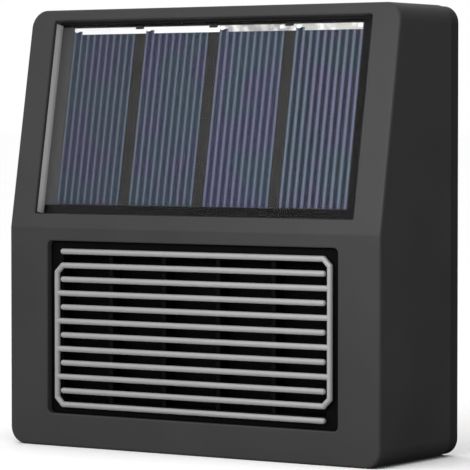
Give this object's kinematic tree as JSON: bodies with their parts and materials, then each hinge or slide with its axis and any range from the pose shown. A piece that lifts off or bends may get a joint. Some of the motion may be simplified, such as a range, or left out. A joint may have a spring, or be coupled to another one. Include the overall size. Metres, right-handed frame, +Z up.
{
  "type": "solar attic fan",
  "caption": "Wall-hung solar vent fan: moulded box with a panel on its sloped upper front, a wire comb guard below, axial fans behind it and a side power button.",
  "frame": {"origin": "centre of the flat back face that lies against the wall", "axes": "+Y points out of the back face into the wall, the guard and the panel face -Y, +Z is up, +X is to the right seen from the front"},
  "size_m": [0.15, 0.0505, 0.15],
  "materials": {
    "housing_plastic": "fine matte texture, dark grey ABS",
    "rear_plastic": "fine matte texture, black ABS",
    "gasket_rubber": "soft matte rubber",
    "seal_foam": "closed-cell foam",
    "screw_steel": "zinc-plated steel",
    "guard_wire": "drawn stainless wire, satin",
    "guard_plastic": "matte black",
    "screen_mesh": "woven steel wire, painted black",
    "clear_glazing": "clear cast resin",
    "strip_grey": "pale grey anodised strip",
    "panel_back": "dark laminate",
    "cell_silicon": "blue-violet silicon with printed silver fingers",
    "ribbon_silver": "tinned copper ribbon",
    "lead_insulation": "PVC insulation, one red and one black",
    "battery_sleeve": "heat-shrunk sleeve",
    "holder_plastic": "black nylon",
    "contact_steel": "nickel-plated spring steel",
    "circuit_board": "green solder mask",
    "connector_plastic": "natural nylon",
    "chip_plastic": "moulded epoxy",
    "can_aluminium": "drawn aluminium can",
    "button_plastic": "moulded black cap",
    "switch_metal": "plated metal",
    "fan_plastic": "black glass-filled plastic",
    "bush_brass": "sintered bronze",
    "core_steel": "electrical steel",
    "coil_copper": "enamelled copper wire",
    "magnet_black": "bonded ferrite",
    "shaft_steel": "ground steel"
  },
  "bodies": {
    "housing": {"battery_cell": "battery_sleeve", "battery_contact": "contact_steel", "battery_holder": "holder_plastic", "battery_leads": "lead_insulation", "battery_spring": "contact_steel", "board_capacitors": "can_aluminium", "board_chips": "chip_plastic", "board_connectors": "connector_plastic", "case_gasket": "gasket_rubber", "case_screws": "screw_steel", "cell_ribbons": "ribbon_silver", "control_board": "circuit_board", "electronics_screws": "screw_steel", "fan_frame_left": "fan_plastic", "fan_frame_right": "fan_plastic", "fan_leads_left": "lead_insulation", "fan_leads_right": "lead_insulation", "fan_plate": "guard_plastic", "fan_screws": "screw_steel", "front_cover": "housing_plastic", "guard_frame": "guard_plastic", "guard_screws": "screw_steel", "insect_screen": "screen_mesh", "lead_grommet": "gasket_rubber", "left_wire_comb": "guard_wire", "motor_board_left": "circuit_board", "motor_board_right": "circuit_board", "panel_backboard": "panel_back", "panel_edge_strip": "strip_grey", "panel_glazing": "clear_glazing", "panel_leads": "lead_insulation", "panel_seal": "seal_foam", "rear_cover": "rear_plastic", "right_wire_comb": "guard_wire", "shaft_bush_left": "bush_brass", "shaft_bush_right": "bush_brass", "solar_cell_1": "cell_silicon", "solar_cell_2": "cell_silicon", "solar_cell_3": "cell_silicon", "solar_cell_4": "cell_silicon", "stator_coils_left": "coil_copper", "stator_coils_right": "coil_copper", "stator_core_left": "core_steel", "stator_core_right": "core_steel", "switch_body": "switch_metal", "switch_leads": "lead_insulation", "switch_nut": "switch_metal", "switch_oring": "gasket_rubber", "wall_seal": "seal_foam"},
    "rotor_left": {"impeller_left": "fan_plastic", "rotor_yoke_left": "core_steel", "magnet_ring_left": "magnet_black", "fan_shaft_left": "shaft_steel", "shaft_clip_left": "shaft_steel"},
    "rotor_right": {"impeller_right": "fan_plastic", "rotor_yoke_right": "core_steel", "magnet_ring_right": "magnet_black", "fan_shaft_right": "shaft_steel", "shaft_clip_right": "shaft_steel"},
    "button": {"button_cap": "button_plastic"}
  },
  "joints": [
    {"name": "rotor_left_spin", "type": "hinge", "parent": "housing", "child": "rotor_left", "pos_m": [-0.0305, -0.033, -0.034], "axis": [0, 1, 0], "continuous": true},
    {"name": "rotor_right_spin", "type": "hinge", "parent": "housing", "child": "rotor_right", "pos_m": [0.0305, -0.033, -0.034], "axis": [0, 1, 0], "continuous": true},
    {"name": "button_press", "type": "slide", "parent": "housing", "child": "button", "axis": [1, 0, 0], "range_m": [0, 0.0015], "stiffness_N_per_m": 600, "springref_m": -0.001}
  ]
}
